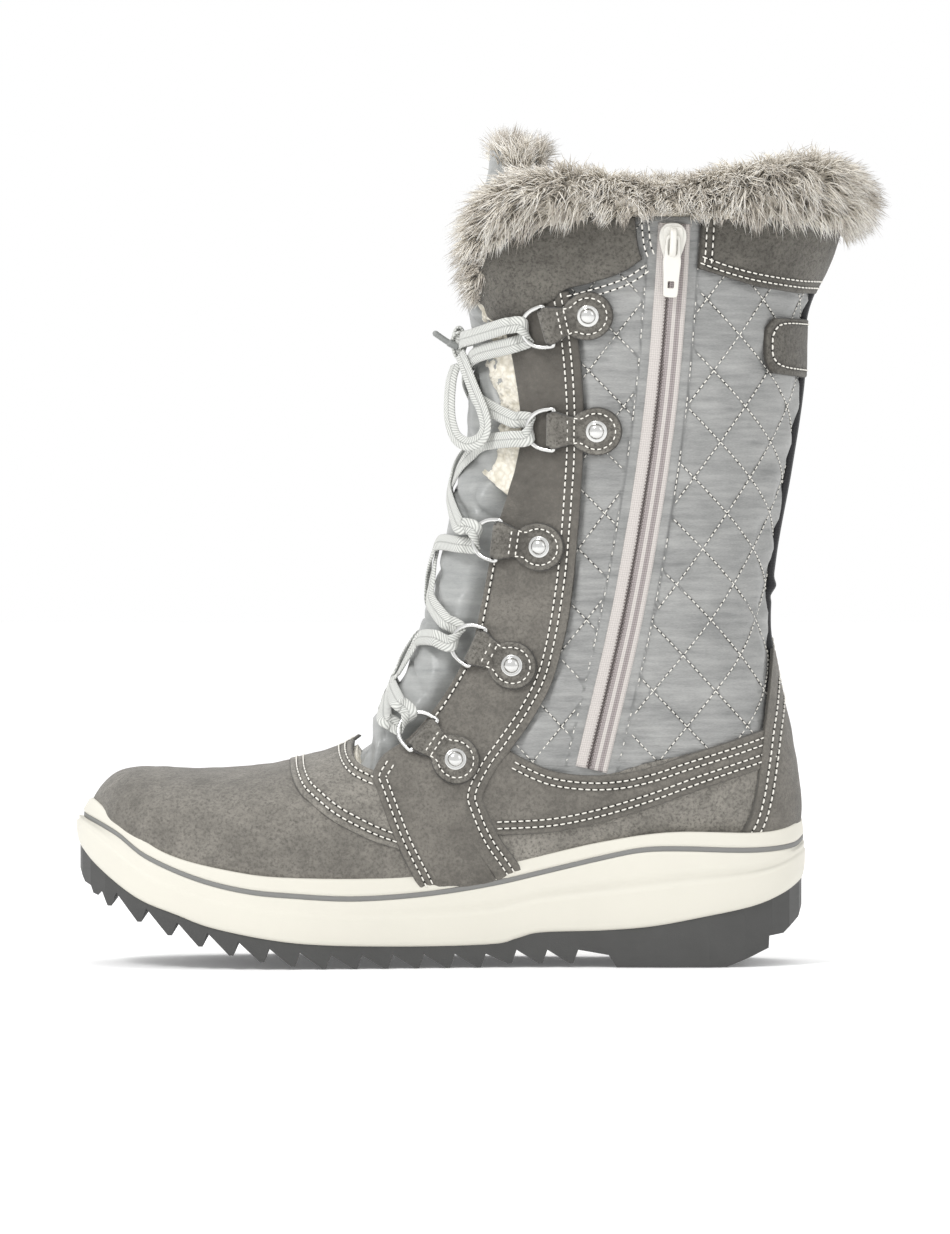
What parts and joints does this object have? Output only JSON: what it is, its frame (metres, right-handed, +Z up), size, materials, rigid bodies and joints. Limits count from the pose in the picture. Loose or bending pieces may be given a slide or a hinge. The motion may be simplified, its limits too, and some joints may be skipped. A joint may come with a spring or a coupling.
{
  "type": "snow boot",
  "caption": "Mid-calf lace-up winter boot, right foot: suede panels over a quilted shaft with a side zipper, fur collar, fleece lining and a lugged rubber sole.",
  "frame": {"origin": "on the floor under the flat of the heel, in the middle plane of the shaft", "axes": "+X to the toe, +Y to the inner (medial) side of this right boot, +Z up"},
  "size_m": [0.3023, 0.1134, 0.32],
  "materials": {
    "outsole_rubber": "dark grey moulded rubber, satin",
    "midsole_foam": "off-white moulded sidewall with a grey pinstripe, satin",
    "fleece": "cream pile fleece",
    "quilted_nylon": "light grey ripstop-free nylon, diamond quilted with white thread",
    "tongue_nylon": "light grey padded nylon",
    "suede": "grey-brown suede, twin-stitched in white",
    "suede_dark": "dark grey suede, stitched in white",
    "zip_tape": "light grey woven tape with a moulded coil",
    "enamel": "light grey enamel",
    "fur": "long grey-beige faux fur",
    "lace": "flat light grey braid",
    "lace_tag": "clear-coated grey lace tag",
    "steel": "polished nickel plate"
  },
  "bodies": {
    "boot": {"outsole": "outsole_rubber", "midsole": "midsole_foam", "insole": "fleece", "upper": "quilted_nylon", "tongue": "tongue_nylon", "vamp": "suede", "saddle": "suede", "eyestay_medial": "suede", "eyestay_lateral": "suede", "quarter_medial": "suede", "quarter_lateral": "suede", "heel_counter": "suede", "collar_medial": "suede_dark", "collar_rear": "suede_dark", "rear_tab": "suede_dark", "zip_tape": "zip_tape", "zip_slider": "enamel", "fur_collar": "fur", "lace_bar": "lace", "lace_cross_1": "lace", "lace_cross_2": "lace", "lace_cross_3": "lace", "lace_cross_4": "lace", "lace_top": "lace", "lace_knot": "lace", "lace_loop_medial": "lace", "lace_loop_lateral": "lace", "lace_tip_medial": "lace_tag", "lace_tip_lateral": "lace_tag", "tab_medial_1": "suede_dark", "ring_medial_1": "steel", "rivet_medial_1": "steel", "tab_medial_2": "suede_dark", "ring_medial_2": "steel", "rivet_medial_2": "steel", "tab_medial_3": "suede_dark", "ring_medial_3": "steel", "rivet_medial_3": "steel", "tab_medial_4": "suede_dark", "ring_medial_4": "steel", "rivet_medial_4": "steel", "tab_medial_5": "suede_dark", "ring_medial_5": "steel", "rivet_medial_5": "steel", "tab_lateral_1": "suede_dark", "ring_lateral_1": "steel", "rivet_lateral_1": "steel", "tab_lateral_2": "suede_dark", "ring_lateral_2": "steel", "rivet_lateral_2": "steel", "tab_lateral_3": "suede_dark", "ring_lateral_3": "steel", "rivet_lateral_3": "steel", "tab_lateral_4": "suede_dark", "ring_lateral_4": "steel", "rivet_lateral_4": "steel", "tab_lateral_5": "suede_dark", "ring_lateral_5": "steel", "rivet_lateral_5": "steel"},
    "zip_pull": {"zip_pull": "enamel"}
  },
  "joints": [
    {"name": "zip_pull_hinge", "type": "hinge", "parent": "boot", "child": "zip_pull", "pos_m": [0.00705, 0.05388, 0.27745], "axis": [0.9983, 0.0395, 0.0438], "range_deg": [0, 130]}
  ]
}
